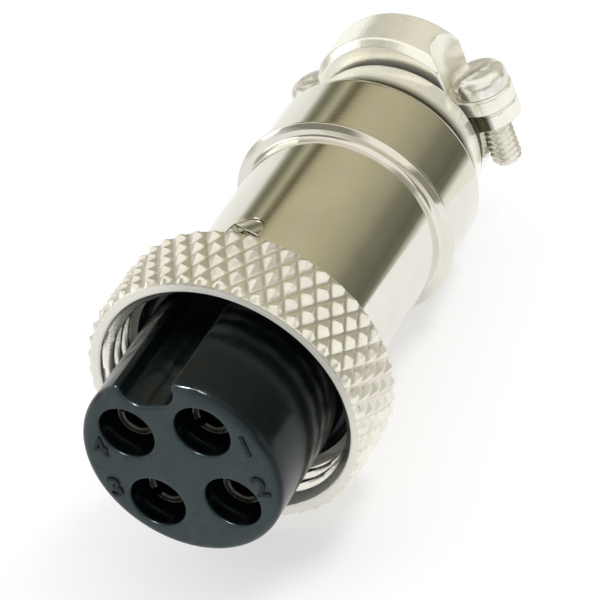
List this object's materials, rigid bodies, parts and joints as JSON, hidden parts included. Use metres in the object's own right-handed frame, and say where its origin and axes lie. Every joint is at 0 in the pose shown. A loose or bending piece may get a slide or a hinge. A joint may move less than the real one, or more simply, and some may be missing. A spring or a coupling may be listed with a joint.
{
  "type": "aviation plug connector",
  "caption": "Round cable-end aviation plug: split sockets in a keyed black insulator, a knurled threaded coupling ring, a barrel with a collar, and a screwed cable clamp.",
  "frame": {"origin": "centre of the mating face of the insulator", "axes": "+Y along the connector from the mating face to the cable, +Z towards the keyway, +X to the right as the mating face is seen"},
  "size_m": [0.018, 0.0384, 0.018],
  "materials": {
    "insulator_plastic": "glossy black moulding",
    "contact_metal": "thinly plated, slightly tarnished",
    "ring_nickel": "bright nickel plate over a diamond knurl",
    "barrel_nickel": "bright nickel plate with fine turning marks",
    "clamp_nickel": "bright nickel plate over a casting",
    "screw_steel": "plated steel"
  },
  "bodies": {
    "housing": {"insulator": "insulator_plastic", "contact_1": "contact_metal", "contact_2": "contact_metal", "contact_3": "contact_metal", "contact_4": "contact_metal", "barrel": "barrel_nickel", "set_screw": "screw_steel", "clamp_base": "clamp_nickel"},
    "ring": {"coupling_ring": "ring_nickel"},
    "strap": {"clamp_strap": "clamp_nickel"},
    "screw_left": {"clamp_screw_left": "screw_steel"},
    "screw_right": {"clamp_screw_right": "screw_steel"}
  },
  "joints": [
    {"name": "ring_turn", "type": "hinge", "parent": "housing", "child": "ring", "pos_m": [0, 0.01075, 0], "axis": [0, 1, 0], "continuous": true},
    {"name": "strap_lift", "type": "slide", "parent": "housing", "child": "strap", "axis": [0, 0, 1], "range_m": [0, 0.0025]},
    {"name": "screw_left_turn", "type": "hinge", "parent": "strap", "child": "screw_left", "pos_m": [-0.0059, 0.0352, 0.0021], "axis": [0, 0, 1], "range_deg": [0, 2250]},
    {"name": "screw_right_turn", "type": "hinge", "parent": "strap", "child": "screw_right", "pos_m": [0.0059, 0.0352, 0.0021], "axis": [0, 0, 1], "range_deg": [0, 2250]}
  ],
  "couplings": [
    {"joint": "screw_left_turn", "follows": "strap_lift", "rad_per_m": 15708},
    {"joint": "screw_right_turn", "follows": "strap_lift", "rad_per_m": 15708}
  ]
}
